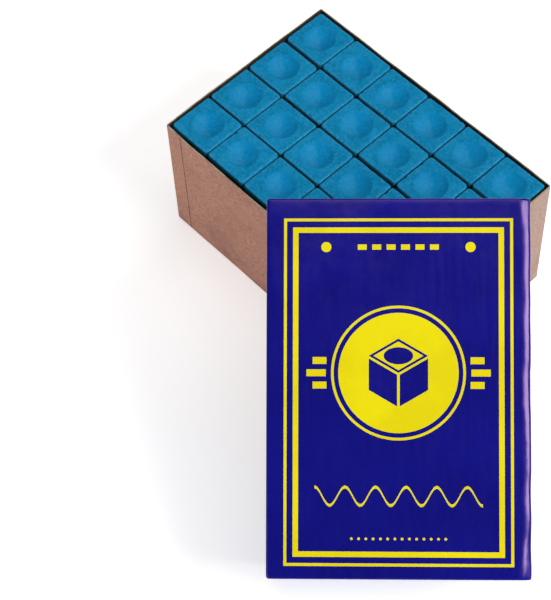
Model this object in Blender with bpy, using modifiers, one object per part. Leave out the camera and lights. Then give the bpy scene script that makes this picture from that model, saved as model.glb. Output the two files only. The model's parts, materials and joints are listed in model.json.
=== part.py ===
"""Boxed cue chalk: an open chipboard tray of chalk cubes, with its printed lid leaning on one corner.

Metres, +Z up. The origin is the centre of the tray's underside, X runs along the tray's long side and
Y along its short side. Columns count along +X, and rows count along -Y.
"""

import math

import bmesh
import bpy
from mathutils import Vector

MM = 0.001
GAP = 0.3 * MM  # between solids that rest on each other

# Chalk cubes, 7/8 inch over the paper
CUBE_WIDTH = 21.8 * MM
CUBE_HEIGHT = 22.1 * MM
CUBE_PITCH = 22.2 * MM
COLUMNS = 6
ROWS = 4
PAPER = 0.15 * MM
PAPER_SLACK = 0.15 * MM  # between the chalk and its label
LABEL_HEIGHT = 20.9 * MM
CHALK_EDGE = 0.6 * MM
DIMPLE_DIAMETER = 14.0 * MM
DIMPLE_DEPTH = 2.2 * MM

# How far each loosely packed top cube lies from its place, towards +Y, row by row
ROW_SHIFTS = (
    (0.30, 0.30, 0.10, 0.10, 0.30, 0.30),
    (-0.20, 0.15, 0.00, 0.20, 0.10, -0.20),
    (-0.10, -0.25, -0.05, -0.25, -0.25, 0.00),
    (-0.10, 0.00, -0.05, 0.00, 0.05, 0.10),
)

# Tray, folded from one sheet of chipboard
TRAY_BOARD = 0.8 * MM
TRAY_LENGTH = 135.9 * MM
TRAY_WIDTH = 91.5 * MM
TRAY_HEIGHT = 69.2 * MM
TRAY_FOLD = 0.9 * MM  # outside radius of the folded corners

# Lid, a board shell under a printed paper cover
LID_LENGTH = 142.6 * MM
LID_WIDTH = 99.0 * MM
LID_DEPTH = 60.0 * MM
LID_BOARD = 1.5 * MM
COVER_PAPER = 0.15 * MM
COVER_SLACK = 0.2 * MM  # between the board and its cover
COVER_EDGE = 2.0 * MM  # outside radius of the covered edges

# How the lid leans on the tray's corner at (+X, -Y)
LID_HEADING = math.radians(45.3)  # its long side on the floor plan, turned from +Y
CORNER_REACH = 75.0 * MM  # from the lid's foot to the tray's corner, on the floor plan


def clear_scene():
    for obj in list(bpy.data.objects):
        bpy.data.objects.remove(obj)
    for collection in list(bpy.data.collections):
        bpy.data.collections.remove(collection)


def new_collection(name):
    collection = bpy.data.collections.new(name)
    bpy.context.scene.collection.children.link(collection)
    return collection


def new_material(name, colour, roughness):
    material = bpy.data.materials.new(name)
    material.use_nodes = True
    shader = material.node_tree.nodes["Principled BSDF"]
    shader.inputs["Base Color"].default_value = (*colour, 1.0)
    shader.inputs["Roughness"].default_value = roughness
    shader.inputs["Metallic"].default_value = 0.0
    return material


def new_object(name, mesh, collection, material=None):
    obj = bpy.data.objects.new(name, mesh)
    collection.objects.link(obj)
    if material and not mesh.materials:
        mesh.materials.append(material)
    return obj


def mesh_from(shape, name):
    mesh = bpy.data.meshes.new(name)
    shape.to_mesh(mesh)
    shape.free()
    return mesh


def box_mesh(name, low, high, open_side=None):
    """A box between two corners; open_side is the outward direction of a face to leave out."""
    low, high = Vector(low), Vector(high)
    shape = bmesh.new()
    bmesh.ops.create_cube(shape, size=1.0)
    bmesh.ops.scale(shape, vec=high - low, verts=shape.verts)
    bmesh.ops.translate(shape, vec=(low + high) / 2, verts=shape.verts)
    if open_side:
        out = Vector(open_side)
        gone = [face for face in shape.faces if face.normal.dot(out) > 0.5]
        bmesh.ops.delete(shape, geom=gone, context="FACES")
    return mesh_from(shape, name)


def add_bevel(obj, width, segments):
    bevel = obj.modifiers.new("rounded edges", "BEVEL")
    bevel.width = width
    bevel.segments = segments
    bevel.limit_method = "ANGLE"


def add_wall(obj, thickness):
    wall = obj.modifiers.new("wall", "SOLIDIFY")
    wall.thickness = thickness
    wall.offset = -1.0
    wall.use_even_offset = True


def add_boolean(obj, other, operation):
    boolean = obj.modifiers.new(operation.lower(), "BOOLEAN")
    boolean.operation = operation
    boolean.solver = "EXACT"
    boolean.object = other


def finished_mesh(obj, name):
    """The object's evaluated mesh, shaded smooth where it is round. The object itself is removed."""
    graph = bpy.context.evaluated_depsgraph_get()
    mesh = bpy.data.meshes.new_from_object(obj.evaluated_get(graph))
    mesh.name = name
    mesh.shade_smooth()
    mesh.set_sharp_from_angle(angle=math.radians(30))
    bpy.data.objects.remove(obj)
    return mesh


def as_helper(obj):
    obj.hide_render = True
    obj.display_type = "WIRE"
    return obj


def dimple_cutter(top, cutters):
    """A sphere that leaves a spherical hollow of the stated diameter and depth below the height `top`."""
    half = DIMPLE_DIAMETER / 2
    radius = (half**2 + DIMPLE_DEPTH**2) / (2 * DIMPLE_DEPTH)
    shape = bmesh.new()
    bmesh.ops.create_uvsphere(shape, u_segments=20, v_segments=26, radius=radius)
    bmesh.ops.translate(shape, vec=(0, 0, top - DIMPLE_DEPTH + radius), verts=shape.verts)
    return as_helper(new_object("dimple_cutter", mesh_from(shape, "dimple_cutter"), cutters))


def chalk_block_mesh(parts, cutters):
    """One block of chalk, standing a paper's thickness and a gap above its cube's underside."""
    half = CUBE_WIDTH / 2 - PAPER - PAPER_SLACK
    bottom = PAPER + PAPER_SLACK
    block = new_object("block", box_mesh("block", (-half, -half, bottom), (half, half, CUBE_HEIGHT)), parts)
    add_bevel(block, CHALK_EDGE, 1)
    add_boolean(block, dimple_cutter(CUBE_HEIGHT, cutters), "DIFFERENCE")
    return finished_mesh(block, "chalk_block")


def label_mesh(parts):
    """The paper glued round a block's four sides and under it, open at the top."""
    half = CUBE_WIDTH / 2
    sides = box_mesh("label", (-half, -half, 0), (half, half, LABEL_HEIGHT), open_side=(0, 0, 1))
    label = new_object("label", sides, parts)
    add_wall(label, PAPER)
    return finished_mesh(label, "cube_label")


def cube_row_mesh(parts, cutters):
    """One row of cubes in a lower layer: its blocks, joined inside by a core along the row."""
    half = CUBE_WIDTH / 2
    end = CUBE_PITCH * (COLUMNS - 1) / 2
    row = new_object("row", box_mesh("row", (-half - end, -half, 0), (half - end, half, CUBE_HEIGHT)), parts)
    blocks = row.modifiers.new("blocks", "ARRAY")
    blocks.count = COLUMNS
    blocks.use_relative_offset = False
    blocks.use_constant_offset = True
    blocks.constant_offset_displace = (CUBE_PITCH, 0, 0)
    core_half = half / 2
    core_box = box_mesh("row_core", (-end, -core_half, half - core_half), (end, core_half, half + core_half))
    core = as_helper(new_object("row_core", core_box, cutters))
    add_boolean(row, core, "UNION")
    return finished_mesh(row, "cube_row")


def layer_floor(layer):
    """The height of a layer's underside; layer 0 lies on the tray's floor."""
    return TRAY_BOARD + GAP + layer * (CUBE_HEIGHT + GAP)


def row_place(row):
    return ((ROWS - 1) / 2 - row) * CUBE_PITCH


def column_place(column):
    return (column - (COLUMNS - 1) / 2) * CUBE_PITCH


def add_lower_layers(parts, cutters, chalk):
    mesh = cube_row_mesh(parts, cutters)
    for layer, name in enumerate(("bottom", "middle")):
        for row in range(ROWS):
            bar = new_object(f"{name}_row_{row + 1}", mesh, parts, chalk)
            bar.location = (0, row_place(row), layer_floor(layer))


def add_top_layer(parts, cutters, chalk, paper):
    block_shape = chalk_block_mesh(parts, cutters)
    label_shape = label_mesh(parts)
    for row in range(ROWS):
        for column in range(COLUMNS):
            place = f"r{row + 1}_c{column + 1}"
            block = new_object(f"chalk_{place}", block_shape, parts, chalk)
            shift = ROW_SHIFTS[row][column] * MM
            block.location = (column_place(column), row_place(row) + shift, layer_floor(2))
            label = new_object(f"label_{place}", label_shape, parts, paper)
            label.parent = block


def add_tray(parts, board):
    low = (-TRAY_LENGTH / 2, -TRAY_WIDTH / 2, 0)
    high = (TRAY_LENGTH / 2, TRAY_WIDTH / 2, TRAY_HEIGHT)
    tray = new_object("tray_shell", box_mesh("tray_shell", low, high, open_side=(0, 0, 1)), parts, board)
    add_bevel(tray, TRAY_FOLD, 2)
    add_wall(tray, TRAY_BOARD)


def lid_hinge(parts):
    """An empty on the line where the lid's lower edge stands: X along the line, Y up the slope, Z out of its face.

    The lid leans until its side walls meet the tray's two rims beside the corner, one at each side.
    """
    inside = LID_WIDTH / 2 - COVER_PAPER - COVER_SLACK - LID_BOARD
    along_left = math.tan(LID_HEADING)  # plan distance up the lid per distance across it, along the rim
    along_right = 1 / along_left
    off_centre = inside * (along_left - along_right) / (along_left + along_right)
    rim_reach = CORNER_REACH + (inside - off_centre) * along_left
    slope = math.atan2(TRAY_HEIGHT + GAP, rim_reach)
    up_plan = Vector((-math.sin(LID_HEADING), math.cos(LID_HEADING), 0))
    across = Vector((math.cos(LID_HEADING), math.sin(LID_HEADING), 0))
    corner = Vector((TRAY_LENGTH / 2, -TRAY_WIDTH / 2, 0))
    hinge = bpy.data.objects.new("lid_hinge", None)
    parts.objects.link(hinge)
    hinge.location = corner - up_plan * CORNER_REACH + across * off_centre
    hinge.rotation_euler = (slope, 0, LID_HEADING)
    return hinge


def add_lid_layer(name, inset, foot, edge, thickness, parts, material, hinge):
    """One open-backed layer of the lid, `inset` inside its outer size, whose walls end `foot` above its rim."""
    half = LID_WIDTH / 2 - inset
    low = (-half, inset, foot)
    high = (half, LID_LENGTH - inset, LID_DEPTH - inset)
    layer = new_object(name, box_mesh(name, low, high, open_side=(0, 0, -1)), parts, material)
    layer.parent = hinge
    add_bevel(layer, edge, 3)
    add_wall(layer, thickness)


def add_lid(parts, board, print_paper):
    hinge = lid_hinge(parts)
    board_inset = COVER_PAPER + COVER_SLACK
    add_lid_layer("lid_shell", board_inset, 0, COVER_EDGE - board_inset, LID_BOARD, parts, board, hinge)
    add_lid_layer("lid_cover", 0, GAP, COVER_EDGE, COVER_PAPER, parts, print_paper, hinge)


def main():
    clear_scene()
    parts = new_collection("boxed_cue_chalk")
    cutters = new_collection("cutters")
    chalk = new_material("blue_chalk", (0.010, 0.205, 0.420), 0.95)
    label_paper = new_material("label_paper", (0.012, 0.100, 0.120), 0.80)
    tray_board = new_material("chipboard", (0.390, 0.200, 0.150), 0.90)
    lid_board = new_material("grey_board", (0.450, 0.390, 0.310), 0.90)
    print_paper = new_material("printed_paper", (0.008, 0.008, 0.220), 0.15)
    add_tray(parts, tray_board)
    add_lower_layers(parts, cutters, chalk)
    add_top_layer(parts, cutters, chalk, label_paper)
    add_lid(parts, lid_board, print_paper)


main()
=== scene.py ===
"""Looks for boxed cue chalk: chalk cubes in paper labels, their folded board tray and its printed lid.

Everything is in metres. The cubes and the tray are built in the part's frame. The lid is built in its own
frame, with X across it, Y up its slope and Z out of its printed face.
"""

import json
import math

import bpy
import numpy as np
from mathutils import Matrix, Vector


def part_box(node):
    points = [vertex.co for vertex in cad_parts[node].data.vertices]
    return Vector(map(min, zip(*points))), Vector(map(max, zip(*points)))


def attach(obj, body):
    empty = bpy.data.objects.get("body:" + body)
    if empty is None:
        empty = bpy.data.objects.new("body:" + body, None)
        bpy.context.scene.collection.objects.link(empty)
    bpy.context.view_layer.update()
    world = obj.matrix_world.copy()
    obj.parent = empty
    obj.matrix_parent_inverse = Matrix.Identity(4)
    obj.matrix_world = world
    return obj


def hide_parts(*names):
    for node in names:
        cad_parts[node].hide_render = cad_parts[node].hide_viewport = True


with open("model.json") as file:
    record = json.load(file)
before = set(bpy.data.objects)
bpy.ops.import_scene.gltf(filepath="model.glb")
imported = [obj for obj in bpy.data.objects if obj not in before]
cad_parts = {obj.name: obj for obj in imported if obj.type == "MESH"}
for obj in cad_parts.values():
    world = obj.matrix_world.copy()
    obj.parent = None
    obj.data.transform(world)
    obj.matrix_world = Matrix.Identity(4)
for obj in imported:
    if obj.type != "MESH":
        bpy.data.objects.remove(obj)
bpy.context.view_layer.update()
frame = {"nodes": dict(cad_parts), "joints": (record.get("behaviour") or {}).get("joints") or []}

MM = 0.001
SEED = 72

ROWS = 4
COLUMNS = 6
FIRST_RING = 1.6 * MM  # from the top of a skin to the first ring round its walls
LEAST_RADIUS = 0.05 * MM
LEAST_FOLD = 0.15 * MM  # least radius of the folds and corners on the inside of a board
LEAST_ROLL = 0.2 * MM
SHARP = math.radians(50)  # board edges that turn by more than this are shaded sharp
TINY = 1e-12

# Chalk cubes
GLUED_PAPER = 0.09 * MM  # a label's thickness
GLUE = 0.02 * MM  # between a label and its chalk
CHALK_HALF_X = 10.78 * MM
CHALK_HALF_Y = 10.55 * MM
CUBE_CORNER = 1.35 * MM  # radius of the upright edges
CUBE_EDGE = 0.42 * MM  # radius of the edges round the top
CUBE_STEP = 0.36 * MM  # spacing of the mesh over the top
CUBE_MESH = (CUBE_STEP, 5, 8)  # that spacing, mesh lines over each edge, and rings down the walls
LOWER_CUBE_MESH = (0.8 * MM, 3, 4)  # coarser, as the lower layers are covered
LABEL_MESH = (2.5 * MM, 8)  # spacing over the underside, and rings up the walls
LOWER_LABEL_MESH = (3.6 * MM, 5)
LABEL_EDGE = 0.2 * MM  # radius of a label's folds under the cube
DIMPLE_RADIUS = 7.0 * MM
DIMPLE_DEPTH = 2.2 * MM
DIMPLE_POWER = 1.7  # 2 would be a bowl, 1 a cone
DIMPLE_TIP = 0.3 * MM  # how wide the middle of a dimple is rounded
DIMPLE_SOFTNESS = 0.0015  # how gently a dimple runs into the top
DIMPLE_LIP = 0.07 * MM  # how far the chalk stands up round a dimple
LIP_PLACE = 0.35 * MM  # from the dimple's edge out to its lip
LIP_WIDTH = 0.45 * MM
EDGE_RUB = 0.42 * MM  # how soon the rubbing dies out away from an edge
EDGE_LOSS = 0.08 * MM  # how much is rubbed off an edge
LOSS_WOBBLE = 0.09 * MM  # how much that changes, in long waves and in short ones
LOSS_GRIT = 0.05 * MM
MOST_LOSS = 0.4 * MM
GRIT_HEIGHT = 0.02 * MM
UNMARKED_SIDE = math.radians(50)  # direction of the half of each dimple left plain; the other half, whose slope faces the light, is painted paler, as chalk dust and as painted light
DUST_AND_LIGHT_TURN = 0.12  # how much that differs from cube to cube, in radians
DUST_AND_LIGHT_BORDER = 1.6 * MM  # width of the soft border across the dimple of that paler half
DUST_AND_LIGHT_WOBBLE = 0.4 * MM
DUST_AND_LIGHT_REACH = 1.06  # how far out the paler half reaches, as a share of the dimple's radius
DUST_AND_LIGHT_FADE = 2.5 * MM
CUBE_TWIST = math.radians(0.35)  # the most a cube is turned out of line
PUSHED_LEFT = 0.3 * MM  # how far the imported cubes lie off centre, in the tray's slack
PUSHED_BACK = 0.15 * MM
LABEL_LAP = 4.0 * MM  # width of a label's glued overlap
LABEL_DIPS = 0.12 * MM  # how uneven a label's upper edge is

# How chalk cubes differ: the least and the most
WIDER_X = (-0.06 * MM, 0.02 * MM)  # half a block's width, more than usual
WIDER_Y = (-0.06 * MM, 0.06 * MM)
LOWER = (0, 0.25 * MM)
CORNER_SCALE = (0.65, 1.35)
DIMPLE_OFF_CENTRE = (-0.35 * MM, 0.35 * MM)
DIMPLE_RADIUS_SCALE = (0.97, 1.03)
DIMPLE_DEPTH_SCALE = (0.92, 1.06)
CHIPS = (2, 5)  # how many, less than the second number
CHIP_RADIUS = (0.55 * MM, 1.15 * MM)
CHIP_ALONG = (-0.95, 0.95)  # place along an edge, as a share of its half length
CHIP_OUT = (0.15 * MM, 0.45 * MM)  # from the edge out to the chip's centre
CHIP_ABOVE = (0, 0.35 * MM)

# Tray
TRAY_BOARD = 0.8 * MM
TRAY_FOLD = 0.9 * MM  # outer radius of the folds
TRAY_MESH = (2.4 * MM, 5)  # spacing over the bottom, and mesh lines over each fold
TRAY_RINGS = 30  # up the walls
TRAY_BOW = 0.25 * MM  # how far the walls bow out at the rim
FAR_BOW = 0.1  # the share of that bow in the walls which the cubes are pushed against
TRAY_DENTS = 0.06 * MM
NEAR_BOW = 0.60 * MM  # how much more the long near wall bulges
WALL_ZONE = 1.5 * MM  # a point this close to the outside belongs to a wall
TRAY_TRIM = 0.85 * MM  # the walls are cut this far below the solid's, level with the cubes
RIM_DIPS = 0.14 * MM  # how uneven the cut rim is
RIM_SUNK = 1.2  # by how many times that the rim is lowered, so that little of it is cut off flat
RIM_PINCH = 0.25 * MM  # how much thinner the board is at its cut edge
RIM_ZONE = 0.3 * MM
LAP_WIDTH = 9.0 * MM  # the flap glued over the long near wall, beside its left corner
LAP_STEP = 0.22 * MM
LAP_GROOVE = 0.30 * MM
GROOVE_HALF = 0.08 * MM
PAINTED_LIGHT_DEPTH = 0.5 * MM  # how deep the paler outside of the right wall, which is painted light, goes
LAP_LINES = np.array([-0.22, -0.10, -0.06, 0.06, 0.10]) * MM  # extra mesh lines beside the flap's end

# Lid
FAR_FROM_FOOT = 100 * MM  # points beyond this from the lid's lower edge show how steeply it leans
LID_BOARD = 1.5 * MM
COVER_PAPER = 0.15 * MM
COVER_SLACK = 0.2 * MM  # between the paper and the board
COVER_ROLL = 0.9 * MM  # radius from the printed face to the side walls
COVER_CORNER = 1.2 * MM
LID_MESH = (3.0 * MM, 5)  # spacing over the face, and mesh lines over each rounded edge
LID_RINGS = 21  # down the walls
COVER_MESH = (1.5 * MM, 9)
COVER_RINGS = 33
TURN_IN_RINGS = 7
BOARD_RIM = 0.35 * MM  # height of the board's rim above the lid's lowest edge
FACE_ZONE = 3.0 * MM  # the face's warp dies out this far down the walls
FACE_CROWN = 0.10 * MM  # how far the face drops from its middle to each side
FACE_DENTS = 0.03 * MM
FALL_SLOPE = 0.36  # how steeply the face falls off along its right edge
FALL_WIDTH = 3.0 * MM
FALL_AT_ENDS = 0.8  # how much wider the fall is at the edge's ends, as a share
FALL_EASE = 2.0 * MM  # how much of that width the slope takes to build up
FALL_CHANGE = 0.15  # by what share the fall changes along the edge
EDGE_RIPPLE = 0.10 * MM
RIPPLE_ZONE = 4.0 * MM
WALL_DRAW = 0.35 * MM  # how far the walls draw in at the rim
WALL_FROM = 0.9  # the walls are beyond this share of the half width and half length
COVER_TURN_IN = 11.0 * MM  # how far the cover reaches up the inside
HEM_TOP = 0.4 * MM  # the cover is folded round the rim below this height
HEM = ((0.12 * MM, 0.08 * MM), (0.03 * MM, 0.35 * MM))  # (height, inset) of the fold's outer lines
EDGE_WEAR = (0.85, 0.5 * MM)  # how worn the edges are, and how soon that dies out
CORNER_WEAR = (0.7, 2.0 * MM)
MOST_WEAR = 1.4


# ---------------------------------------------------------------- skins

def spread(half, zone, step, zone_steps):
    """Places from -half to half, about `step` apart, and closer together in a zone along either end."""
    count = max(2, round(2 * (half - zone) / step))
    middle = np.linspace(-(half - zone), half - zone, count + 1)
    end = np.linspace(half - zone, half, zone_steps + 1)[1:]
    return np.concatenate([-end[::-1], middle, end])


def rolled(places, edge):
    """Where places on the flat come to lie, seen from above, once the outer `edge` is rolled over."""
    half = places[-1]
    from_end = half - abs(places)
    turn = np.clip(1 - from_end / edge, 0, 1) * math.pi / 2
    return np.sign(places) * np.where(from_end < edge, half - edge + edge * np.sin(turn), abs(places))


def rings_between(top, bottom, count, inset=0):
    """Rings evenly spaced along a wall, the last at its bottom and none at its top."""
    return [(level, inset) for level in np.linspace(top, bottom, count + 1)[1:]]


def box_skin(xs, ys, height, corner, edge, rings):
    """The skin of a box standing on z = 0 with its top at `height`, without an underside.

    xs and ys are the places of the mesh lines over the top, corner is the radius of the upright edges and
    edge that of the edges round the top. rings are (height, inset) of the lines round the walls, going down.
    Returns the points, the faces and the indices of the last ring.
    """
    half_x, half_y = xs[-1], ys[-1]
    near_edge = np.minimum(half_x - abs(xs)[:, None], half_y - abs(ys)[None, :])
    turn = np.clip(1 - near_edge / edge, 0, 1) * math.pi / 2
    z = height - edge * (1 - np.cos(turn))
    x, y = np.meshgrid(rolled(xs, edge), rolled(ys, edge), indexing="ij")
    over_x = np.maximum(abs(x) - (half_x - corner), 0)
    over_y = np.maximum(abs(y) - (half_y - corner), 0)
    reach = np.maximum(np.hypot(over_x, over_y), TINY)
    pull = np.maximum(over_x, over_y) / reach
    base_x, base_y = np.sign(x) * (abs(x) - over_x), np.sign(y) * (abs(y) - over_y)
    side_x, side_y = np.sign(x) * over_x, np.sign(y) * over_y
    flat = np.stack([base_x + side_x * pull, base_y + side_y * pull, z], -1)
    count_x, count_y = len(xs), len(ys)
    index = np.arange(count_x * count_y).reshape(count_x, count_y)
    quads = np.stack([index[:-1, :-1], index[1:, :-1], index[1:, 1:], index[:-1, 1:]], -1).reshape(-1, 4)
    loop = np.concatenate([index[:-1, 0], index[-1, :-1], index[:0:-1, -1], index[0, :0:-1]])
    out_x, out_y = (side_x / reach).ravel()[loop], (side_y / reach).ravel()[loop]
    share_x = base_x.ravel()[loop] / (half_x - corner)
    share_y = base_y.ravel()[loop] / (half_y - corner)
    points, faces = [flat.reshape(-1, 3)], [quads]
    upper, used = loop, index.size
    for ring_height, inset in rings:
        radius = max(corner - inset, LEAST_RADIUS)
        ring_x = share_x * (half_x - inset - radius) + out_x * radius
        ring_y = share_y * (half_y - inset - radius) + out_y * radius
        points.append(np.stack([ring_x, ring_y, np.full(len(loop), ring_height)], -1))
        lower = used + np.arange(len(loop))
        faces.append(np.stack([lower, np.roll(lower, -1), np.roll(upper, -1), upper], -1))
        upper, used = lower, used + len(loop)
    return np.concatenate(points), np.concatenate(faces), upper


def standing_up(points, faces, height):
    """A box skin turned over, so that its open side is on top."""
    return points * (1, 1, -1) + (0, 0, height), faces[:, ::-1]


def closed_shell(outer, inner, faces, rim):
    """Joins two skins of one pattern into a closed shell.

    Returns the points, the faces, and how many faces come before those of the rim.
    """
    count = len(outer)
    after = np.roll(rim, -1)
    edge = np.stack([rim, rim + count, after + count, after], -1)
    start = outer[rim[0]]
    turn = np.cross(outer[after[0]] - start, inner[rim[0]] - start)
    open_above = outer[rim, 2].mean() > outer[:, 2].mean()
    if (turn[2] > 0) == open_above:
        edge = edge[:, ::-1]
    points = np.concatenate([outer, inner])
    return points, np.concatenate([faces, faces[:, ::-1] + count, edge]), 2 * len(faces)


def waves(rng, count, shortest, longest):
    """A smooth random function of points, of about unit size, whose waves are between two lengths."""
    way = rng.normal(size=(count, 3))
    way /= np.linalg.norm(way, axis=1)[:, None]
    way *= (2 * math.pi / rng.uniform(shortest, longest, count))[:, None]
    phase = rng.uniform(0, 2 * math.pi, count)
    return lambda points: np.sin(points @ way.T + phase).sum(1) * math.sqrt(2 / count)


def new_mesh(name, points, faces, materials, marks=None):
    """A mesh. marks are numbers, one for each point, which a material reads by name."""
    mesh = bpy.data.meshes.new(name)
    mesh.from_pydata(points.tolist(), [], [list(face) for face in faces])
    for material in materials:
        mesh.materials.append(material)
    for mark, values in (marks or {}).items():
        mesh.attributes.new(mark, "FLOAT", "POINT").data.foreach_set("value", values.astype(np.float32))
    mesh.shade_smooth()
    mesh.update()
    return mesh


def new_piece(name, mesh, body, replaced, place=None):
    """Shows a mesh on a body in place of CAD nodes. Without a place, it is already in the part's frame."""
    piece = bpy.data.objects.new(name, mesh)
    bpy.context.scene.collection.objects.link(piece)
    if place is not None:
        piece.matrix_world = place
    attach(piece, body)
    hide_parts(*replaced)
    return piece


# ---------------------------------------------------------------- materials

COVER_TINT = (0.97, 0.60, 1.0, 1.0)  # highlights on the printed blue are a little pink
MIX_A, MIX_B, MIX_RESULT = 6, 7, 2  # the colour sockets of a Mix node, whose names it also uses for others


def srgb(red, green, blue):
    """A colour given as 0 to 255 on a screen, as linear light."""
    def linear(value):
        value /= 255
        return value / 12.92 if value <= 0.04045 else ((value + 0.055) / 1.055) ** 2.4

    return (linear(red), linear(green), linear(blue), 1.0)


class Value:
    """A number inside a material's node tree, which takes ordinary arithmetic."""

    def __init__(self, looks, socket):
        self.looks, self.socket = looks, socket

    def apply(self, operation, *others, clamp=False):
        return self.looks.math(operation, self, *others, clamp=clamp)

    def __add__(self, other):
        return self.apply("ADD", other)

    def __sub__(self, other):
        return self.apply("SUBTRACT", other)

    def __mul__(self, other):
        return self.apply("MULTIPLY", other)

    def __truediv__(self, other):
        return self.apply("DIVIDE", other)

    __radd__ = __add__

    def __abs__(self):
        return self.apply("ABSOLUTE")

    def __or__(self, other):
        return self.apply("MAXIMUM", other)

    def __and__(self, other):
        return self.apply("MINIMUM", other)

    def sine(self):
        return self.apply("SINE")

    def near(self, other, distance):
        """1 within `distance` of other, else 0."""
        return self.apply("COMPARE", other, distance)

    def below(self, other):
        return self.apply("LESS_THAN", other)

    def above(self, other):
        return self.apply("GREATER_THAN", other)

    def between(self, low, high):
        """0 at `low` and under it, 1 at `high` and over it, and straight between."""
        return ((self - low) / (high - low)).apply("ADD", 0, clamp=True)


class Looks:
    """A material, and the node tree that gives it its surface."""

    def __init__(self, name, specular):
        self.material = bpy.data.materials.new(name)
        self.material.use_nodes = True
        self.tree = self.material.node_tree
        self.shader = self.tree.nodes["Principled BSDF"]
        self.shader.inputs["Specular IOR Level"].default_value = specular
        self.place = self.tree.nodes.new("ShaderNodeTexCoord").outputs["Object"]

    def feed(self, socket, value):
        """Links a value to a socket, or sets a constant on it."""
        if isinstance(value, Value):
            value = value.socket
        if isinstance(value, bpy.types.NodeSocket):
            self.tree.links.new(value, socket)
        else:
            socket.default_value = value

    def math(self, operation, *values, clamp=False):
        node = self.tree.nodes.new("ShaderNodeMath")
        node.operation = operation
        node.use_clamp = clamp
        for socket, value in zip(node.inputs, values):
            self.feed(socket, value)
        return Value(self, node.outputs["Value"])

    def axes(self):
        node = self.tree.nodes.new("ShaderNodeSeparateXYZ")
        self.tree.links.new(self.place, node.inputs[0])
        return [Value(self, output) for output in node.outputs]

    def stretched(self, scale):
        node = self.tree.nodes.new("ShaderNodeMapping")
        node.inputs["Scale"].default_value = scale
        self.tree.links.new(self.place, node.inputs["Vector"])
        return node.outputs["Vector"]

    def noise(self, size, detail=3.0, rough=0.55, stretch=None, warp=0.0):
        """Noise from 0 to 1 whose blotches are about `size` across."""
        node = self.tree.nodes.new("ShaderNodeTexNoise")
        node.inputs["Scale"].default_value = 1 / size
        node.inputs["Detail"].default_value = detail
        node.inputs["Roughness"].default_value = rough
        node.inputs["Distortion"].default_value = warp
        self.tree.links.new(self.stretched(stretch) if stretch else self.place, node.inputs["Vector"])
        return Value(self, node.outputs["Fac"])

    def specks(self, size):
        """For cells of about `size`: a random number from 0 to 1, and how far a point is from the middle."""
        node = self.tree.nodes.new("ShaderNodeTexVoronoi")
        node.inputs["Scale"].default_value = 1 / size
        self.tree.links.new(self.place, node.inputs["Vector"])
        split = self.tree.nodes.new("ShaderNodeSeparateColor")
        self.tree.links.new(node.outputs["Color"], split.inputs[0])
        return Value(self, split.outputs[0]), Value(self, node.outputs["Distance"])

    def marked(self, name):
        node = self.tree.nodes.new("ShaderNodeAttribute")
        node.attribute_name = name
        return Value(self, node.outputs["Fac"])

    def mix(self, first, second, share):
        node = self.tree.nodes.new("ShaderNodeMix")
        node.data_type = "RGBA"
        node.clamp_factor = True
        self.feed(node.inputs["Factor"], share)
        self.feed(node.inputs[MIX_A], first)
        self.feed(node.inputs[MIX_B], second)
        return node.outputs[MIX_RESULT]

    def bump(self, height, distance, before=None):
        node = self.tree.nodes.new("ShaderNodeBump")
        node.inputs["Strength"].default_value = 1.0
        node.inputs["Distance"].default_value = distance
        self.feed(node.inputs["Height"], height)
        if before is not None:
            self.tree.links.new(before, node.inputs["Normal"])
        return node.outputs["Normal"]

    def finish(self, colour, roughness, normal):
        self.feed(self.shader.inputs["Base Color"], colour)
        self.feed(self.shader.inputs["Roughness"], roughness)
        self.feed(self.shader.inputs["Normal"], normal)
        return self.material


def chalk_looks():
    """Pressed blue chalk: powdery, mottled, and paler where its edges are rubbed."""
    looks = Looks("blue_chalk", specular=0.05)
    cloud = looks.noise(5.5 * MM, detail=4, rough=0.6, warp=0.6)
    patch = looks.noise(1.3 * MM, detail=3)
    grain = looks.noise(0.32 * MM, detail=2, rough=0.7)
    colour = looks.mix(srgb(0, 120, 165), srgb(14, 133, 181), cloud.between(0.38, 0.64))
    colour = looks.mix(colour, srgb(54, 144, 188), patch.between(0.46, 0.70) * 0.48)
    colour = looks.mix(colour, srgb(0, 130, 188), looks.marked("pressed") * (0.30 + cloud * 0.4))
    # dust and painted light: the half of each dimple whose slope faces the light is painted paler
    colour = looks.mix(colour, srgb(68, 152, 190), looks.marked("dust_and_painted_light") * (0.05 + patch * 0.38))
    colour = looks.mix(colour, srgb(0, 96, 142), grain.between(0.60, 0.82) * 0.40)
    colour = looks.mix(colour, srgb(84, 172, 208), grain.between(0.42, 0.24) * 0.30)
    colour = looks.mix(colour, srgb(72, 168, 206), looks.marked("wear") * patch.between(0.25, 0.6) * 0.65)
    pits, far = looks.specks(0.9 * MM)
    pit = pits.above(0.82) * far.between(0.34, 0.12)
    height = grain * 0.6 + patch * 0.9 - pit * 0.8
    return looks.finish(colour, 0.84 + patch * 0.14, looks.bump(height, 0.10 * MM))


def label_looks():
    """Thin dark green-blue label paper."""
    looks = Looks("label_paper", specular=0.35)
    fibre = looks.noise(0.7 * MM, detail=4, rough=0.65, stretch=(1, 1, 0.35))
    cloud = looks.noise(6 * MM, detail=3)
    colour = looks.mix(srgb(4, 44, 48), srgb(10, 60, 62), cloud.between(0.35, 0.7))
    colour = looks.mix(colour, srgb(30, 84, 86), fibre.between(0.58, 0.85) * 0.5)
    # on a label this mark holds only chalk dust, along its upper edge
    colour = looks.mix(colour, srgb(16, 92, 120), looks.marked("dust_and_painted_light") * cloud.between(0.45, 0.65) * 0.2)
    return looks.finish(colour, 0.62 + fibre * 0.2, looks.bump(fibre, 0.05 * MM))


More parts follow.
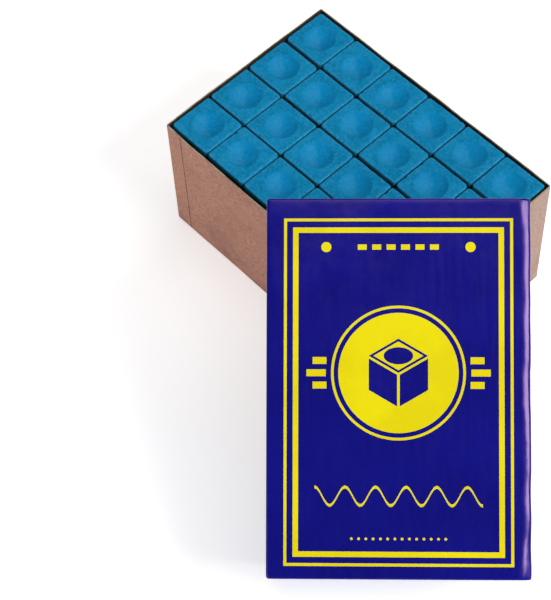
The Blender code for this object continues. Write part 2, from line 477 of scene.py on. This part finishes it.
def chipboard_looks(painted_light_from):
    """Reddish brown chipboard, fibrous and flecked; beyond the x it is given, the end wall is painted paler,
    as painted light.
    """
    looks = Looks("chipboard", specular=0.25)
    x, _, z = looks.axes()
    felt = looks.noise(1.1 * MM, detail=5, rough=0.7, stretch=(0.55, 0.55, 1))
    cloud = looks.noise(13 * MM, detail=4, rough=0.6)
    fine = looks.noise(0.35 * MM, detail=2, rough=0.7, stretch=(0.4, 0.4, 1))
    colour = looks.mix(srgb(161, 111, 93), srgb(202, 152, 132), felt.between(0.34, 0.66))
    colour = looks.mix(colour, srgb(156, 108, 94), cloud.between(0.48, 0.70) * 0.45)
    # painted light: the outside of the end wall that faces the light is painted paler and greyer
    painted_light_tone = looks.mix(srgb(160, 133, 121), srgb(184, 159, 147), felt.between(0.36, 0.66))
    colour = looks.mix(colour, painted_light_tone, x.above(painted_light_from) * 0.9)
    fleck, far = looks.specks(1.5 * MM)
    spot = far.between(0.36, 0.14)
    colour = looks.mix(colour, srgb(112, 74, 66), fleck.above(0.86) * spot * fine.between(0.35, 0.55) * 0.6)
    colour = looks.mix(colour, srgb(216, 186, 170), fleck.below(0.10) * spot * 0.45)
    # painted shade: darker towards the foot of the walls
    colour = looks.mix(colour, srgb(128, 84, 76), z.between(22 * MM, 0) * cloud.between(0.3, 0.7) * 0.5)
    # chalk stain and painted shade: the inside of the tray is painted near black
    stain_and_shade = looks.mix(srgb(40, 25, 21), srgb(9, 36, 44), cloud.between(0.40, 0.62))
    colour = looks.mix(colour, stain_and_shade, looks.marked("inside") * (0.75 + fine * 0.4))
    height = felt * 0.7 + fine * 0.5
    return looks.finish(colour, 0.80 + felt * 0.15, looks.bump(height, 0.09 * MM))


def board_core_looks():
    """The paler cut edge of the tray's board, with the grey-green cast of recycled pulp."""
    looks = Looks("chipboard_core", specular=0.2)
    pulp = looks.noise(0.6 * MM, detail=4, rough=0.7)
    colour = looks.mix(srgb(140, 138, 118), srgb(172, 168, 146), pulp.between(0.35, 0.65))
    colour = looks.mix(colour, srgb(126, 92, 78), looks.noise(5 * MM).between(0.45, 0.6) * 0.6)
    return looks.finish(colour, 0.9 + pulp * 0.08, looks.bump(pulp, 0.08 * MM))


def grey_board_looks():
    """The lid's raw grey board, flecked with dark and light fibres."""
    looks = Looks("grey_board", specular=0.25)
    felt = looks.noise(1.4 * MM, detail=5, rough=0.7, stretch=(1, 0.45, 1))
    cloud = looks.noise(16 * MM, detail=3)
    fine = looks.noise(0.4 * MM, detail=2, rough=0.7)
    colour = looks.mix(srgb(150, 138, 120), srgb(173, 161, 142), felt.between(0.35, 0.66))
    colour = looks.mix(colour, srgb(134, 122, 108), cloud.between(0.5, 0.7) * 0.5)
    fleck, far = looks.specks(1.7 * MM)
    spot = far.between(0.34, 0.12)
    colour = looks.mix(colour, srgb(86, 78, 74), fleck.above(0.88) * spot * 0.7)
    colour = looks.mix(colour, srgb(205, 196, 178), fleck.below(0.10) * spot * 0.6)
    height = felt * 0.7 + fine * 0.5
    return looks.finish(colour, 0.82 + felt * 0.14, looks.bump(height, 0.10 * MM))


# ---------------------------------------------------------------- the lid's print, in the lid's own frame

# _HALF is half of a height or width, and _ROW how high a row stands above the face's lower edge

FRAME_SIDE = 6.6 * MM  # from the face's side to the outer line
FRAME_TOP = 7.6 * MM
FRAME_BOTTOM = 5.0 * MM
THIN_LINE = 1.1 * MM
LINE_GAP = 2.3 * MM
THICK_LINE = 2.05 * MM
EMBLEM_HEIGHT = 77.0 * MM  # the emblem's middle, above the face's lower edge
EMBLEM_RADIUS = 22.5 * MM
DRAWN_SIDE = 12.8 * MM  # of the cube drawn on it
DRAWN_LINE = 1.0 * MM
DRAWN_DIMPLE = (0.43 * DRAWN_SIDE, 0.25 * DRAWN_SIDE)  # its half width and half height
RING_RADIUS, RING_HALF = EMBLEM_RADIUS + 2.2 * MM, 0.5 * MM  # the ring round it, and half its line
BAR_HALF = 1.3 * MM
SHORT_BAR = (29.5 * MM, 2.6 * MM)  # from the face's middle to the bar's, and half its length
LONG_BAR = (30.8 * MM, 3.6 * MM)
BAR_SPACING = 4.6 * MM
DOTS_BELOW_TOP = 18.4 * MM  # from the face's upper edge down to the row of dots and dashes
DOT_PLACE, DOT_RADIUS = 27.0 * MM, 1.9 * MM
DASH_PITCH, DASH_HALF = 5.4 * MM, 1.0 * MM
DASH_SHARE = 0.31  # half of a dash's length, as a share of the pitch
DASHES_HALF = 16.2 * MM
WAVE_ROW, WAVE_LENGTH, WAVE_SWING = 31.0 * MM, 11.4 * MM, 3.4 * MM
WAVE_LINE, WAVE_HALF = 0.55 * MM, 31.35 * MM  # half its line, and half the wave's width
BEAD_ROW, BEAD_PITCH, BEAD_RADIUS = 15.2 * MM, 2.7 * MM, 0.52 * MM
BEADS_HALF = 18.9 * MM


def rectangle(x, y, half_width, low, high):
    middle = (low + high) / 2
    return abs(x).below(half_width) & abs(y - middle).below((high - low) / 2)


def outline(x, y, half_width, low, high, line):
    inner = rectangle(x, y, half_width - line, low + line, high - line)
    return rectangle(x, y, half_width, low, high) - inner


def disc(u, v, radius):
    return (u * u + v * v).below(radius**2)


def in_cell(x, pitch):
    """How far x is from the middle of its cell in a row of cells, as a share of the pitch."""
    return (x / pitch).apply("FRACT") - 0.5


def drawn_cube(u, v):
    """A cube seen corner on: the lower two faces filled, the upper one outlined round a filled dimple."""
    side = abs(u)
    slant = side / math.sqrt(3)
    across = side.below(DRAWN_SIDE * math.sqrt(3) / 2)
    body = across & (abs(v) + slant).below(DRAWN_SIDE)
    lower = body & v.below(slant - DRAWN_LINE) & side.above(DRAWN_LINE / 2)
    above = v - DRAWN_SIDE / 2
    from_top = abs(above) + slant
    outlined = from_top.below(DRAWN_SIDE / 2) - from_top.below(DRAWN_SIDE / 2 - DRAWN_LINE)
    return lower | outlined | disc(u / DRAWN_DIMPLE[0], above / DRAWN_DIMPLE[1], 1)


def printed_yellow(x, y, width, length):
    """1 where the printed face is yellow: a double frame, a roundel with a cube, and plain ornaments."""
    half = width / 2 - FRAME_SIDE
    low, high = FRAME_BOTTOM, length - FRAME_TOP
    inset = THIN_LINE + LINE_GAP
    frame_lines = outline(x, y, half, low, high, THIN_LINE)
    frame_lines |= outline(x, y, half - inset, low + inset, high - inset, THICK_LINE)
    v = y - EMBLEM_HEIGHT
    from_middle = (x * x + v * v).apply("SQRT")
    roundel = from_middle.below(EMBLEM_RADIUS) - drawn_cube(x, v)
    ring = from_middle.near(RING_RADIUS, RING_HALF)
    side = abs(x)
    bars = rectangle(side - SHORT_BAR[0], abs(v) - BAR_SPACING, SHORT_BAR[1], -BAR_HALF, BAR_HALF)
    bars |= rectangle(side - LONG_BAR[0], v, LONG_BAR[1], -BAR_HALF, BAR_HALF)
    row = y - (length - DOTS_BELOW_TOP)
    dots = disc(side - DOT_PLACE, row, DOT_RADIUS)
    dashes = rectangle(x, row, DASHES_HALF, -DASH_HALF, DASH_HALF)
    dashes &= abs(in_cell(x, DASH_PITCH)).below(DASH_SHARE)
    swing = (x * (2 * math.pi / WAVE_LENGTH)).sine() * WAVE_SWING
    wave = (y - WAVE_ROW - swing).near(0, WAVE_LINE) & side.below(WAVE_HALF)
    beads = disc(in_cell(x, BEAD_PITCH) * BEAD_PITCH, y - BEAD_ROW, BEAD_RADIUS) & side.below(BEADS_HALF)
    return frame_lines | roundel | ring | bars | dots | dashes | wave | beads


def cover_looks(width, length, depth):
    """Glossy wrap paper, printed deep blue with yellow on the face, rubbed to white on its corners."""
    looks = Looks("printed_paper", specular=0.44)
    looks.shader.inputs["Specular Tint"].default_value = COVER_TINT
    x, y, z = looks.axes()
    cloud = looks.noise(22 * MM, detail=3)
    fine = looks.noise(0.5 * MM, detail=3, rough=0.7)
    streak = looks.noise(2.2 * MM, detail=3, rough=0.7, stretch=(1, 0.12, 1))
    blue = looks.mix(srgb(0, 6, 112), srgb(4, 11, 122), cloud.between(0.35, 0.65))
    blue = looks.mix(blue, srgb(22, 28, 136), fine.between(0.5, 0.75) * 0.45)
    yellow = looks.mix(srgb(222, 206, 0), srgb(230, 216, 0), cloud.between(0.4, 0.6))
    yellow = looks.mix(yellow, srgb(196, 178, 12), fine.between(0.62, 0.85) * 0.35)
    printed = printed_yellow(x, y, width, length) & z.above(depth - COVER_ROLL)
    colour = looks.mix(blue, yellow, printed)
    rubbed = (looks.marked("wear") * (streak * 0.6 + fine * 0.9)).between(0.62, 0.80)
    colour = looks.mix(colour, srgb(196, 190, 200), rubbed * 0.8)
    on_wall = z.between(depth - 1.0 * MM, depth - 2.2 * MM)
    roughness = 0.15 + streak.between(0.40, 0.75) * 0.08 + fine * 0.05 + rubbed * 0.35 + on_wall * 0.3
    laid = looks.bump(cloud + streak * 0.03, 0.35 * MM)
    return looks.finish(colour, roughness, looks.bump(fine * 0.6 + printed * 0.5, 0.012 * MM, before=laid))


# ---------------------------------------------------------------- chalk cubes

def chalk_skin(rng, height, step, edge_steps, wall_rings):
    """One chalk block standing on z = 0, closed: a dimpled top, rubbed edges and a few chips.

    Returns the points, the faces and the marks that its material reads.
    """
    half_x = CHALK_HALF_X + rng.uniform(*WIDER_X)
    half_y = CHALK_HALF_Y + rng.uniform(*WIDER_Y)
    top = height - rng.uniform(*LOWER)
    rings = rings_between(top, 0, wall_rings)
    rings[0] = (top - FIRST_RING, 0)
    xs, ys = (spread(half, CUBE_CORNER, step, edge_steps) for half in (half_x, half_y))
    corner = CUBE_CORNER * rng.uniform(*CORNER_SCALE)
    points, faces, last = box_skin(xs, ys, top, corner, CUBE_EDGE, rings)
    dimple = rng.uniform(*DIMPLE_OFF_CENTRE, 2)
    radius = DIMPLE_RADIUS * rng.uniform(*DIMPLE_RADIUS_SCALE)
    depth = DIMPLE_DEPTH * rng.uniform(*DIMPLE_DEPTH_SCALE)
    away = np.hypot(points[:, 0] - dimple[0], points[:, 1] - dimple[1])
    bowl = 1 - (np.hypot(away, DIMPLE_TIP) / radius) ** DIMPLE_POWER
    bowl = (bowl + np.sqrt(bowl**2 + DIMPLE_SOFTNESS)) / 2
    on_top = points[:, 2] > top - 0.9 * CUBE_EDGE
    lip = DIMPLE_LIP * np.exp(-(((away - radius - LIP_PLACE) / LIP_WIDTH) ** 2))
    points[:, 2] += np.where(on_top, lip - depth * bowl, 0)
    to_side = np.minimum(half_x - abs(points[:, 0]), half_y - abs(points[:, 1]))
    below = np.where(on_top & (away < radius), 0, top - points[:, 2])
    nearness = np.exp(-(np.maximum(to_side, 0) + below) / EDGE_RUB)
    wobble = waves(rng, 9, 2.5 * MM, 9 * MM)(points)
    grit = waves(rng, 12, 0.7 * MM, 1.8 * MM)(points)
    inward = (0, 0, height / 2) - points
    inward /= np.linalg.norm(inward, axis=1)[:, None]
    rub = nearness * np.clip(EDGE_LOSS + LOSS_WOBBLE * wobble + LOSS_GRIT * grit, 0, MOST_LOSS)
    points = points + inward * rub[:, None]
    points[:, 2] += np.where(on_top, GRIT_HEIGHT * grit, 0)
    for _ in range(rng.integers(*CHIPS)):
        points = bite(points, chip(rng, half_x, half_y, top), rng.uniform(*CHIP_RADIUS))
    # dust and painted light: marks the half of the dimple whose slope faces the light, to be painted paler
    towards = UNMARKED_SIDE + rng.normal() * DUST_AND_LIGHT_TURN
    along = (points[:, 0] - dimple[0]) * math.cos(towards) + (points[:, 1] - dimple[1]) * math.sin(towards)
    far_half = np.clip(0.5 - (along + DUST_AND_LIGHT_WOBBLE * wobble) / DUST_AND_LIGHT_BORDER, 0, 1)
    dust_and_painted_light = on_top * far_half * np.clip((DUST_AND_LIGHT_REACH * radius - away) / DUST_AND_LIGHT_FADE, 0, 1)
    pressed = on_top * np.clip((radius - away) / CUBE_STEP, 0, 1)
    underside = last[::-1].tolist()
    return points, [*faces.tolist(), underside], {"wear": nearness, "dust_and_painted_light": dust_and_painted_light, "pressed": pressed}


def chip(rng, half_x, half_y, top):
    """A place just outside one of the top edges."""
    along, out = rng.uniform(*CHIP_ALONG), rng.uniform(*CHIP_OUT)
    side = rng.choice([-1, 1])
    if rng.random() < 0.5:
        x, y = side * (half_x + out), along * half_y
    else:
        x, y = along * half_x, side * (half_y + out)
    return np.array([x, y, top + rng.uniform(*CHIP_ABOVE)])


def bite(points, centre, radius):
    """Pushes the points inside a ball out to its surface."""
    away = points - centre
    distance = np.linalg.norm(away, axis=1)
    inside = (distance < radius) & (distance > TINY)
    moved = points.copy()
    moved[inside] = centre + away[inside] * (radius / distance[inside])[:, None]
    return moved


def label_skin(rng, half, height, step, wall_rings):
    """A paper cup round a block's sides and underside, standing on z = 0, with its overlap on one side."""
    places = spread(half, CUBE_CORNER, step, 3)
    skins = []
    dips = waves(rng, 5, 7 * MM, 20 * MM)
    for inset in (0, GLUED_PAPER):
        reach = places * (half - inset) / half
        rings = rings_between(height, 0, wall_rings)
        points, faces, last = box_skin(reach, reach, height, CUBE_CORNER - inset, LABEL_EDGE, rings)
        points, faces = standing_up(points, faces, height + inset)
        level = points[:, 2] / height
        points[:, 2] += LABEL_DIPS * dips(points * (1, 1, 0)) * level**8
        points[:, 2] = np.minimum(points[:, 2], height)
        if not inset:
            lap = (points[:, 1] > half - CUBE_CORNER / 4) & (points[:, 0] > half - CUBE_CORNER - LABEL_LAP)
            points[:, 1] += np.where(lap & (level > 0.02), GLUED_PAPER, 0)
        skins.append(points)
    points, faces, _ = closed_shell(*skins, faces, last)
    dust_and_painted_light = np.clip(points[:, 2] / height * 6 - 5, 0, 1)
    none = np.zeros(len(points))
    return points, faces.tolist(), {"wear": none, "dust_and_painted_light": dust_and_painted_light, "pressed": none}


def turned(points, angle, place):
    """Points turned about the upright axis, and then moved."""
    cos, sin = math.cos(angle), math.sin(angle)
    x, y, z = points.T
    return np.stack([x * cos - y * sin, x * sin + y * cos, z], -1) + np.array(place)


def add_top_cube(name, seed, chalk, paper):
    """The chalk block and label of one top cube, in place of its two CAD nodes."""
    rng = np.random.default_rng([SEED, seed])
    low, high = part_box(f"label_{name}")
    half = (high.x - low.x) / 2
    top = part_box(f"chalk_{name}")[1].z
    place = ((low.x + high.x) / 2 - PUSHED_LEFT, (low.y + high.y) / 2 + PUSHED_BACK, low.z)
    twist = rng.uniform(-1, 1) * CUBE_TWIST
    lift = np.array([0, 0, GLUED_PAPER + GLUE])
    points, faces, marks = chalk_skin(rng, top - low.z - lift[2], *CUBE_MESH)
    mesh = new_mesh(f"cue_chalk_{name}", turned(points + lift, twist, place), faces, [chalk], marks)
    new_piece(f"cue_chalk_{name}", mesh, f"cube_{name}", [f"chalk_{name}"])
    points, faces, marks = label_skin(rng, half, high.z - low.z, *LABEL_MESH)
    mesh = new_mesh(f"paper_label_{name}", turned(points, twist, place), faces, [paper], marks)
    new_piece(f"paper_label_{name}", mesh, f"cube_{name}", [f"label_{name}"])


def add_lower_row(layer, row, seed, cube_half, label_height, chalk, paper):
    """Six separate cubes, each a chalk block in its label, in place of one joined CAD row."""
    rng = np.random.default_rng([SEED, seed])
    low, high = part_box(f"{layer}_row_{row}")
    pitch = (high.x - low.x - 2 * cube_half) / (COLUMNS - 1)
    lift = np.array([0, 0, GLUED_PAPER + GLUE])
    points, faces, slots, marks = [], [], [], []
    used = 0
    for column in range(COLUMNS):
        middle = low.x + cube_half + column * pitch
        place = (middle - PUSHED_LEFT, (low.y + high.y) / 2 + PUSHED_BACK, low.z)
        twist = rng.uniform(-1, 1) * CUBE_TWIST / 2
        block = chalk_skin(rng, high.z - low.z - lift[2], *LOWER_CUBE_MESH)
        label = label_skin(rng, cube_half, label_height, *LOWER_LABEL_MESH)
        for slot, (part, part_faces, part_marks), raised in ((0, block, lift), (1, label, 0)):
            points.append(turned(part + raised, twist, place))
            faces += [[used + index for index in face] for face in part_faces]
            slots += [slot] * len(part_faces)
            marks.append(part_marks)
            used += len(part)
    name = f"{layer}_cubes_row_{row}"
    joined = {mark: np.concatenate([part[mark] for part in marks]) for mark in marks[0]}
    mesh = new_mesh(name, np.concatenate(points), faces, [chalk, paper], joined)
    mesh.polygons.foreach_set("material_index", slots)
    new_piece(name, mesh, "tray", [f"{layer}_row_{row}"])


def add_cubes(chalk, paper):
    """The 24 cubes of the top layer one by one, and the two layers under them row by row."""
    for row in range(1, ROWS + 1):
        for column in range(1, COLUMNS + 1):
            add_top_cube(f"r{row}_c{column}", row * COLUMNS + column, chalk, paper)
    low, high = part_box("label_r1_c1")
    cube_half, label_height = (high.x - low.x) / 2, high.z - low.z
    for layer, first_seed in (("middle", 100), ("bottom", 200)):
        for row in range(1, ROWS + 1):
            add_lower_row(layer, row, first_seed + row, cube_half, label_height, chalk, paper)


# ---------------------------------------------------------------- tray

def with_lines(places, extra, apart):
    """Mesh lines with more lines added, and any closer to those than `apart` left out."""
    kept = [place for place in places if min(abs(place - line) for line in extra) > apart]
    return np.array(sorted([*kept, *extra]))


def tray_bend(points, half_x, half_y, height, rim_dips, dents):
    """The tray out of true: its walls bow, the long near one most of all, and its rim is uneven."""
    x, y, z = points.T
    up = np.clip(z / height, 0, 1)
    hold_x, hold_y = np.cos(x / half_x * math.pi / 2), np.cos(y / half_y * math.pi / 2)
    bow = TRAY_BOW * up + TRAY_DENTS * dents(points)
    bow_x, bow_y = bow * np.where(x < 0, -FAR_BOW, 1), bow * np.where(y > 0, FAR_BOW, -1)
    moved = points.copy()
    moved[:, 0] += bow_x * np.clip(hold_y, 0, 1) * (abs(x) > half_x - WALL_ZONE)
    moved[:, 1] += bow_y * np.clip(hold_x, 0, 1) * (abs(y) > half_y - WALL_ZONE)
    bulge = NEAR_BOW * np.clip(3 * hold_x, 0, 1) ** 2 * up**2
    moved[:, 1] -= np.where(y < -half_y + WALL_ZONE, bulge, 0)
    moved[:, 2] += RIM_DIPS * (rim_dips(moved * (1, 1, 0)) - RIM_SUNK) * up**12
    moved[:, 2] = np.clip(moved[:, 2], 0, height)
    return moved


def add_tray(board, core):
    """The tray as one folded sheet: rounded folds, bowed walls, and a flap lapped over the near wall."""
    rng = np.random.default_rng([SEED, 1])
    low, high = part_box("tray_shell")
    half_x, half_y, height = high.x, high.y, high.z - TRAY_TRIM
    lap_end = -half_x + LAP_WIDTH
    xs = with_lines(spread(half_x, TRAY_FOLD, *TRAY_MESH), LAP_LINES + lap_end, 0.25 * MM)
    ys = spread(half_y, TRAY_FOLD, *TRAY_MESH)
    levels = height * np.linspace(1, 0, TRAY_RINGS + 1)[1:]
    levels[0] = height - FIRST_RING
    bend = (half_x, half_y, height, waves(rng, 6, 12 * MM, 50 * MM), waves(rng, 8, 22 * MM, 70 * MM))
    skins = []
    for inset in (0, TRAY_BOARD):
        reach_x, reach_y = xs * (half_x - inset) / half_x, ys * (half_y - inset) / half_y
        fold = max(TRAY_FOLD - inset, LEAST_FOLD)
        rings = [(level, 0) for level in levels * (height - inset) / height]
        points, faces, last = box_skin(reach_x, reach_y, height - inset, fold, fold, rings)
        points, faces = standing_up(points, faces, height)
        at_rim = points[:, 2] > height - RIM_ZONE
        points = tray_bend(points, *bend)
        x, y, z = points.T
        if inset:
            points[:, 0] += np.sign(x) * np.where(at_rim & (abs(x) > half_x - 2 * inset), RIM_PINCH, 0)
            points[:, 1] += np.sign(y) * np.where(at_rim & (abs(y) > half_y - 2 * inset), RIM_PINCH, 0)
        else:
            near_wall = (y < -half_y + TRAY_BOARD) & (z > 1.2 * TRAY_FOLD)
            flap = near_wall & (x < lap_end - GROOVE_HALF)
            groove = near_wall & (abs(x - lap_end) < GROOVE_HALF)
            points[:, 1] -= np.where(flap, LAP_STEP, 0) - np.where(groove, LAP_GROOVE, 0)
        skins.append(points)
    points, faces, rim_from = closed_shell(*skins, faces, last)
    inside = np.repeat([0.0, 1.0], len(skins[0]))
    mesh = new_mesh("folded_tray", points, faces.tolist(), [board, core], {"inside": inside})
    mesh.polygons.foreach_set("material_index", [int(index >= rim_from) for index in range(len(faces))])
    mesh.set_sharp_from_angle(angle=SHARP)
    new_piece("folded_tray", mesh, "tray", ["tray_shell"])


# ---------------------------------------------------------------- lid

def lid_frame():
    """The lid's own frame as a matrix, and the width, length and depth of its cover."""
    joint = next(joint for joint in frame["joints"] if joint["name"] == "lid_tilt")
    foot = Vector(joint["pos_m"])
    across = Vector(joint["axis"]).normalized()
    ahead = Vector((0, 0, 1)).cross(across)
    shell = [vertex.co - foot for vertex in frame["nodes"]["lid_shell"].data.vertices]
    far = [point for point in shell if point.length > FAR_FROM_FOOT]
    slope = min(math.atan2(point.z, point.dot(ahead)) for point in far)
    up = ahead * math.cos(slope) + Vector((0, 0, math.sin(slope)))
    out = across.cross(up)
    place = Matrix((across, up, out)).transposed().to_4x4()
    place.translation = foot
    cover = [place.inverted() @ vertex.co for vertex in frame["nodes"]["lid_cover"].data.vertices]
    width = max(point.x for point in cover) - min(point.x for point in cover)
    length = max(point.y for point in cover)
    depth = max(point.z for point in cover)
    return place, width, length, depth


def lid_bend(points, width, length, depth, dents, ripples):
    """The lid out of true.

    Its face falls off to its sides, most of all to the right, where handling has rippled the edge, and its
    walls draw in at the rim.
    """
    x, y, z = points.T
    x_share, y_share = x / (width / 2), (y - length / 2) / (length / 2)
    on_face = np.clip((z - depth + FACE_ZONE) / FACE_ZONE, 0, 1)
    fallen = np.clip(x - width / 2 + FALL_WIDTH * (1 + FALL_AT_ENDS * y_share**6), 0, None)
    fall = np.where(fallen < FALL_EASE, fallen**2 / (2 * FALL_EASE), fallen - FALL_EASE / 2)
    fall *= FALL_SLOPE * (1 + FALL_CHANGE * np.clip(dents(points * (0, 1, 0)), -1, 1))
    drop = FACE_CROWN * (x_share**2 + y_share**2) + fall
    moved = points.copy()
    moved[:, 2] -= on_face * (drop + FACE_DENTS * np.clip(dents(points), -1, 1))
    draw = WALL_DRAW * np.clip(1 - z / depth, 0, 1)
    moved[:, 0] -= np.sign(x) * draw * np.clip(1 - y_share**2, 0, 1) * (abs(x_share) > WALL_FROM)
    moved[:, 1] -= np.sign(y_share) * draw * np.clip(1 - x_share**2, 0, 1) * (abs(y_share) > WALL_FROM)
    on_edge = np.exp(-(((x - width / 2) / RIPPLE_ZONE) ** 2 + ((z - depth) / RIPPLE_ZONE) ** 2))
    ripple = EDGE_RIPPLE * on_edge * np.clip(ripples(points * (0, 1, 0.3)) + 0.8, 0, 2)
    moved[:, (0, 2)] -= ripple[:, None]
    return moved


def add_lid(place, width, length, depth, board, cover):
    """The lid's board, as a shell open below, and the printed cover over it."""
    rng = np.random.default_rng([SEED, 2])
    bend = (width, length, depth, waves(rng, 8, 25 * MM, 80 * MM), waves(rng, 10, 9 * MM, 34 * MM))
    inset = COVER_PAPER + COVER_SLACK
    half_x, half_y = width / 2 - inset, length / 2 - inset
    skins = []
    for under in (inset, inset + LID_BOARD):
        reach_x = spread(half_x, COVER_ROLL, *LID_MESH) * (width / 2 - under) / half_x
        reach_y = spread(half_y, COVER_ROLL, *LID_MESH) * (length / 2 - under) / half_y
        roll = max(COVER_ROLL - under, LEAST_ROLL)
        corner = max(COVER_CORNER - under, LEAST_FOLD)
        rings = rings_between(depth - under - roll, BOARD_RIM, LID_RINGS)
        points, faces, last = box_skin(reach_x, reach_y, depth - under, corner, roll, rings)
        skins.append(lid_bend(points + (0, length / 2, 0), *bend))
    points, faces, _ = closed_shell(*skins, faces, last)
    mesh = new_mesh("lid_board", points, faces.tolist(), [board])
    mesh.set_sharp_from_angle(angle=SHARP)
    new_piece("lid_board", mesh, "lid", ["lid_shell"], place)
    add_cover(place, bend, cover)


def add_cover(place, bend, paper):
    """The printed wrap: over the face, down the walls, round their rims and up the inside."""
    width, length, depth = bend[:3]
    xs = spread(width / 2, COVER_ROLL, *COVER_MESH)
    ys = spread(length / 2, COVER_ROLL, *COVER_MESH)
    inner = 2 * COVER_SLACK + LID_BOARD + 2 * COVER_PAPER
    rings = rings_between(depth - COVER_ROLL, HEM_TOP, COVER_RINGS)
    rings += [*HEM, *((level, inner - inset) for level, inset in reversed(HEM))]
    rings += [(HEM_TOP, inner), *rings_between(HEM_TOP, COVER_TURN_IN, TURN_IN_RINGS, inner)]
    points, faces, _ = box_skin(xs, ys, depth, COVER_CORNER, COVER_ROLL, rings)
    points += (0, length / 2, 0)
    x, y, z = points.T
    to_x, to_y = width / 2 - abs(x), length / 2 - abs(y - length / 2)
    edges = [np.hypot(to_x, to_y), np.hypot(to_x, depth - z), np.hypot(to_y, depth - z)]
    corners = np.sqrt(to_x**2 + to_y**2 + (depth - z) ** 2)
    wear = EDGE_WEAR[0] * np.exp(-np.minimum.reduce(edges) / EDGE_WEAR[1])
    wear += CORNER_WEAR[0] * np.exp(-corners / CORNER_WEAR[1])
    marks = {"wear": np.clip(wear, 0, MOST_WEAR)}
    mesh = new_mesh("printed_cover", lid_bend(points, *bend), faces.tolist(), [paper], marks)
    piece = new_piece("printed_cover", mesh, "lid", ["lid_cover"], place)
    sheet = piece.modifiers.new("paper", "SOLIDIFY")
    sheet.thickness = COVER_PAPER
    sheet.offset = -1
    sheet.use_even_offset = True


# ---------------------------------------------------------------- stage

CAMERA_LENS = 113.3
CAMERA_AZIMUTH = math.radians(49.62)
CAMERA_HEIGHT = math.radians(57.51)
CAMERA_ROLL = math.radians(-3.61)
CAMERA_DISTANCE = 0.761
CAMERA_TARGET = Vector((0.0246, -0.0699, 0.060))

LIGHTS_AIM = Vector((0.03, -0.03, 0.03))
LIGHTS = (  # name, azimuth and elevation in degrees, distance, size, strength
    ("key_softbox", 104.5, 44.5, 1.6, (0.6, 0.6), 0.68),
    ("overhead_softbox", 150, 80, 1.8, (1.3, 1.3), 0.32),
    ("near_fill", 5, 28, 1.8, (0.9, 0.6), 0.20),
)
ROOM_LIGHT = 0.14
WHITE = (1, 1, 1, 1)
FLOOR_TONES = ((0.93, 0.93, 0.93, 1), (0.95, 0.95, 0.95, 1))
FLOOR_GLOW = 0.50  # keeps the floor near white, as in the photo
FLOOR_HALF = 12.0
FLOOR_DROP = 0.2 * MM  # keeps the floor clear of the undersides that stand on it


def way(azimuth, elevation):
    """The direction towards a point seen at this azimuth and elevation."""
    level = math.cos(elevation)
    return Vector((math.sin(azimuth) * level, -math.cos(azimuth) * level, math.sin(elevation)))


def add_camera():
    """The camera at the photo's angle."""
    data = bpy.data.cameras.new("camera")
    data.lens = CAMERA_LENS
    camera = bpy.data.objects.new("camera", data)
    bpy.context.scene.collection.objects.link(camera)
    back = way(CAMERA_AZIMUTH, CAMERA_HEIGHT)
    right = (-back).cross(Vector((0, 0, 1))).normalized()
    turn = Matrix((right, back.cross(right), back)).transposed()
    camera.matrix_world = (turn @ Matrix.Rotation(CAMERA_ROLL, 3, "Z")).to_4x4()
    camera.location = CAMERA_TARGET + back * CAMERA_DISTANCE
    bpy.context.scene.camera = camera


def add_light(name, azimuth, elevation, distance, size, strength):
    """A softbox. A white surface that faces it, and gets no other light, reads as `strength`."""
    data = bpy.data.lights.new(name, "AREA")
    data.shape = "RECTANGLE"
    data.size, data.size_y = size
    data.energy = strength * math.pi**2 * distance**2
    light = bpy.data.objects.new(name, data)
    bpy.context.scene.collection.objects.link(light)
    back = way(math.radians(azimuth), math.radians(elevation))
    light.location = LIGHTS_AIM + back * distance
    light.rotation_euler = back.to_track_quat("Z", "Y").to_euler()


def add_stage():
    """A plain pale floor under soft studio light."""
    floor = Looks("pale_floor", specular=0.1)
    tone = floor.mix(*FLOOR_TONES, floor.noise(60 * MM))
    floor.shader.inputs["Emission Color"].default_value = WHITE
    floor.shader.inputs["Emission Strength"].default_value = FLOOR_GLOW
    material = floor.finish(tone, 0.9, floor.bump(floor.noise(1.5 * MM), 0.02 * MM))
    corners = ((-1, -1), (1, -1), (1, 1), (-1, 1))
    points = np.array([(FLOOR_HALF * x, FLOOR_HALF * y, -FLOOR_DROP) for x, y in corners])
    ground = bpy.data.objects.new("floor", new_mesh("floor", points, [(0, 1, 2, 3)], [material]))
    bpy.context.scene.collection.objects.link(ground)
    world = bpy.data.worlds.new("studio")
    world.use_nodes = True
    room = world.node_tree.nodes["Background"]
    room.inputs["Color"].default_value = WHITE
    room.inputs["Strength"].default_value = ROOM_LIGHT
    bpy.context.scene.world = world
    for light in LIGHTS:
        add_light(*light)


def main():
    bpy.context.scene.view_settings.view_transform = "Standard"
    chalk, paper = chalk_looks(), label_looks()
    add_cubes(chalk, paper)
    tray_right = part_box("tray_shell")[1].x
    add_tray(chipboard_looks(tray_right - PAINTED_LIGHT_DEPTH), board_core_looks())
    lid = lid_frame()
    add_lid(*lid, grey_board_looks(), cover_looks(*lid[1:]))
    add_stage()
    add_camera()


main()
